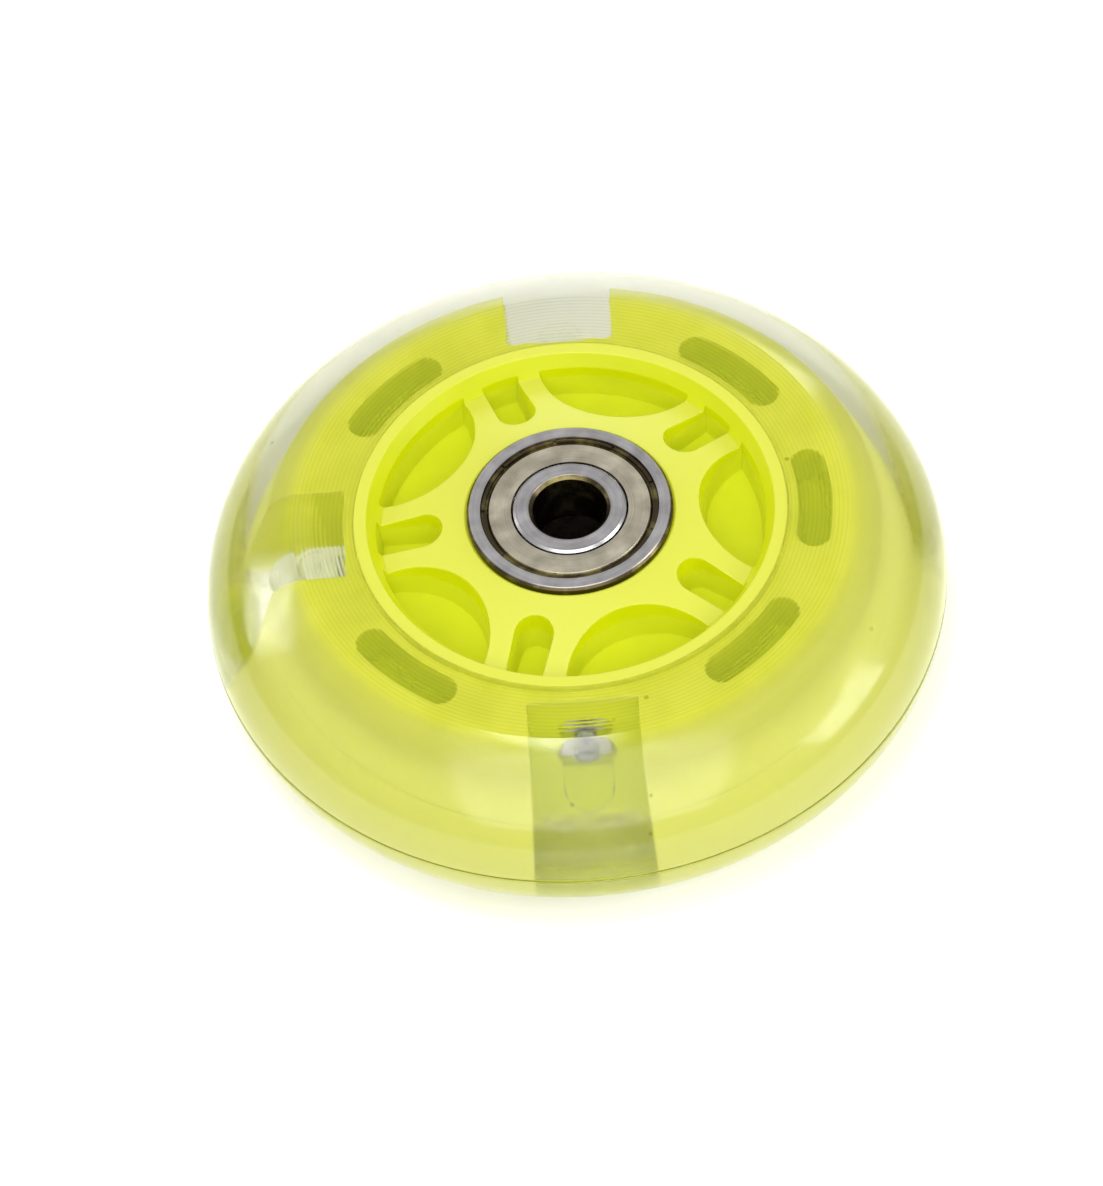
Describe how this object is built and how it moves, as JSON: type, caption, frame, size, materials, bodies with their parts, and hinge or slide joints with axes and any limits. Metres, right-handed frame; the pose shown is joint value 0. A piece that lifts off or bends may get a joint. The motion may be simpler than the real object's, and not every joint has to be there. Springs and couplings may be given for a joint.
{
  "type": "light-up roller wheel",
  "caption": "Clear urethane roller wheel with a lime moulded core, light-up windows and shielded ball bearings for an 8 mm axle.",
  "frame": {"origin": "centre of the wheel: on the axle line, in the mid-plane of the tyre", "axes": "+Z along the axle, so the wheel lies on its side and spins about +Z; +Y through the first LED window"},
  "size_m": [0.08, 0.08, 0.024],
  "materials": {
    "clear_urethane": "clear cast polyurethane, polished tread, turned side faces",
    "lime_plastic": "semi-gloss moulded fluorescent lime",
    "bearing_steel": "ground",
    "shield_steel": "pressed, lightly scratched",
    "cage_steel": "pressed",
    "ball_steel": "polished",
    "spacer_steel": "blackened",
    "ferrite": "sintered",
    "claw_steel": "zinc plated",
    "bobbin_plastic": "moulded",
    "copper_wire": "enamelled copper",
    "red_wire": "insulation",
    "black_wire": "insulation",
    "led_epoxy": "clear",
    "tinned_lead": "tinned"
  },
  "bodies": {
    "axle_side": {"inner_ring_lower": "bearing_steel", "inner_ring_upper": "bearing_steel", "magnet_ring": "ferrite", "spacer": "spacer_steel"},
    "wheel": {"bobbin": "bobbin_plastic", "claw_plate_lower": "claw_steel", "claw_plate_upper": "claw_steel", "coil_tails": "copper_wire", "core_lower": "lime_plastic", "core_upper": "lime_plastic", "feed_wire_lower": "black_wire", "feed_wire_upper": "red_wire", "led_leads_1": "tinned_lead", "led_leads_2": "tinned_lead", "led_leads_3": "tinned_lead", "led_lens_1": "led_epoxy", "led_lens_2": "led_epoxy", "led_lens_3": "led_epoxy", "outer_ring_lower": "bearing_steel", "outer_ring_upper": "bearing_steel", "shield_lower_bottom": "shield_steel", "shield_lower_top": "shield_steel", "shield_upper_bottom": "shield_steel", "shield_upper_top": "shield_steel", "tyre": "clear_urethane", "winding": "copper_wire"},
    "cage_upper": {"cage_upper_top": "cage_steel", "cage_upper_bottom": "cage_steel", "rivets_upper": "cage_steel"},
    "ball_upper_1": {"ball_upper_1": "ball_steel"},
    "ball_upper_2": {"ball_upper_2": "ball_steel"},
    "ball_upper_3": {"ball_upper_3": "ball_steel"},
    "ball_upper_4": {"ball_upper_4": "ball_steel"},
    "ball_upper_5": {"ball_upper_5": "ball_steel"},
    "ball_upper_6": {"ball_upper_6": "ball_steel"},
    "ball_upper_7": {"ball_upper_7": "ball_steel"},
    "cage_lower": {"cage_lower_top": "cage_steel", "cage_lower_bottom": "cage_steel", "rivets_lower": "cage_steel"},
    "ball_lower_1": {"ball_lower_1": "ball_steel"},
    "ball_lower_2": {"ball_lower_2": "ball_steel"},
    "ball_lower_3": {"ball_lower_3": "ball_steel"},
    "ball_lower_4": {"ball_lower_4": "ball_steel"},
    "ball_lower_5": {"ball_lower_5": "ball_steel"},
    "ball_lower_6": {"ball_lower_6": "ball_steel"},
    "ball_lower_7": {"ball_lower_7": "ball_steel"}
  },
  "joints": [
    {"name": "wheel_spin", "type": "hinge", "parent": "axle_side", "child": "wheel", "pos_m": [0, 0, 0], "axis": [0, 0, 1], "continuous": true},
    {"name": "cage_upper_turn", "type": "hinge", "parent": "axle_side", "child": "cage_upper", "pos_m": [0, 0, 0.0085], "axis": [0, 0, 1], "continuous": true},
    {"name": "ball_upper_1_roll", "type": "hinge", "parent": "cage_upper", "child": "ball_upper_1", "pos_m": [0.0075, 0, 0.0085], "axis": [0, 0, 1], "continuous": true},
    {"name": "ball_upper_2_roll", "type": "hinge", "parent": "cage_upper", "child": "ball_upper_2", "pos_m": [0.00468, 0.00586, 0.0085], "axis": [0, 0, 1], "continuous": true},
    {"name": "ball_upper_3_roll", "type": "hinge", "parent": "cage_upper", "child": "ball_upper_3", "pos_m": [-0.00167, 0.00731, 0.0085], "axis": [0, 0, 1], "continuous": true},
    {"name": "ball_upper_4_roll", "type": "hinge", "parent": "cage_upper", "child": "ball_upper_4", "pos_m": [-0.00676, 0.00325, 0.0085], "axis": [0, 0, 1], "continuous": true},
    {"name": "ball_upper_5_roll", "type": "hinge", "parent": "cage_upper", "child": "ball_upper_5", "pos_m": [-0.00676, -0.00325, 0.0085], "axis": [0, 0, 1], "continuous": true},
    {"name": "ball_upper_6_roll", "type": "hinge", "parent": "cage_upper", "child": "ball_upper_6", "pos_m": [-0.00167, -0.00731, 0.0085], "axis": [0, 0, 1], "continuous": true},
    {"name": "ball_upper_7_roll", "type": "hinge", "parent": "cage_upper", "child": "ball_upper_7", "pos_m": [0.00468, -0.00586, 0.0085], "axis": [0, 0, 1], "continuous": true},
    {"name": "cage_lower_turn", "type": "hinge", "parent": "axle_side", "child": "cage_lower", "pos_m": [0, 0, -0.0085], "axis": [0, 0, 1], "continuous": true},
    {"name": "ball_lower_1_roll", "type": "hinge", "parent": "cage_lower", "child": "ball_lower_1", "pos_m": [0.0075, 0, -0.0085], "axis": [0, 0, 1], "continuous": true},
    {"name": "ball_lower_2_roll", "type": "hinge", "parent": "cage_lower", "child": "ball_lower_2", "pos_m": [0.00468, 0.00586, -0.0085], "axis": [0, 0, 1], "continuous": true},
    {"name": "ball_lower_3_roll", "type": "hinge", "parent": "cage_lower", "child": "ball_lower_3", "pos_m": [-0.00167, 0.00731, -0.0085], "axis": [0, 0, 1], "continuous": true},
    {"name": "ball_lower_4_roll", "type": "hinge", "parent": "cage_lower", "child": "ball_lower_4", "pos_m": [-0.00676, 0.00325, -0.0085], "axis": [0, 0, 1], "continuous": true},
    {"name": "ball_lower_5_roll", "type": "hinge", "parent": "cage_lower", "child": "ball_lower_5", "pos_m": [-0.00676, -0.00325, -0.0085], "axis": [0, 0, 1], "continuous": true},
    {"name": "ball_lower_6_roll", "type": "hinge", "parent": "cage_lower", "child": "ball_lower_6", "pos_m": [-0.00167, -0.00731, -0.0085], "axis": [0, 0, 1], "continuous": true},
    {"name": "ball_lower_7_roll", "type": "hinge", "parent": "cage_lower", "child": "ball_lower_7", "pos_m": [0.00468, -0.00586, -0.0085], "axis": [0, 0, 1], "continuous": true}
  ],
  "couplings": [
    {"joint": "cage_upper_turn", "follows": "wheel_spin", "ratio": 0.6323},
    {"joint": "ball_upper_1_roll", "follows": "wheel_spin", "ratio": 1.7573},
    {"joint": "ball_upper_2_roll", "follows": "wheel_spin", "ratio": 1.7573},
    {"joint": "ball_upper_3_roll", "follows": "wheel_spin", "ratio": 1.7573},
    {"joint": "ball_upper_4_roll", "follows": "wheel_spin", "ratio": 1.7573},
    {"joint": "ball_upper_5_roll", "follows": "wheel_spin", "ratio": 1.7573},
    {"joint": "ball_upper_6_roll", "follows": "wheel_spin", "ratio": 1.7573},
    {"joint": "ball_upper_7_roll", "follows": "wheel_spin", "ratio": 1.7573},
    {"joint": "cage_lower_turn", "follows": "wheel_spin", "ratio": 0.6323},
    {"joint": "ball_lower_1_roll", "follows": "wheel_spin", "ratio": 1.7573},
    {"joint": "ball_lower_2_roll", "follows": "wheel_spin", "ratio": 1.7573},
    {"joint": "ball_lower_3_roll", "follows": "wheel_spin", "ratio": 1.7573},
    {"joint": "ball_lower_4_roll", "follows": "wheel_spin", "ratio": 1.7573},
    {"joint": "ball_lower_5_roll", "follows": "wheel_spin", "ratio": 1.7573},
    {"joint": "ball_lower_6_roll", "follows": "wheel_spin", "ratio": 1.7573},
    {"joint": "ball_lower_7_roll", "follows": "wheel_spin", "ratio": 1.7573}
  ]
}
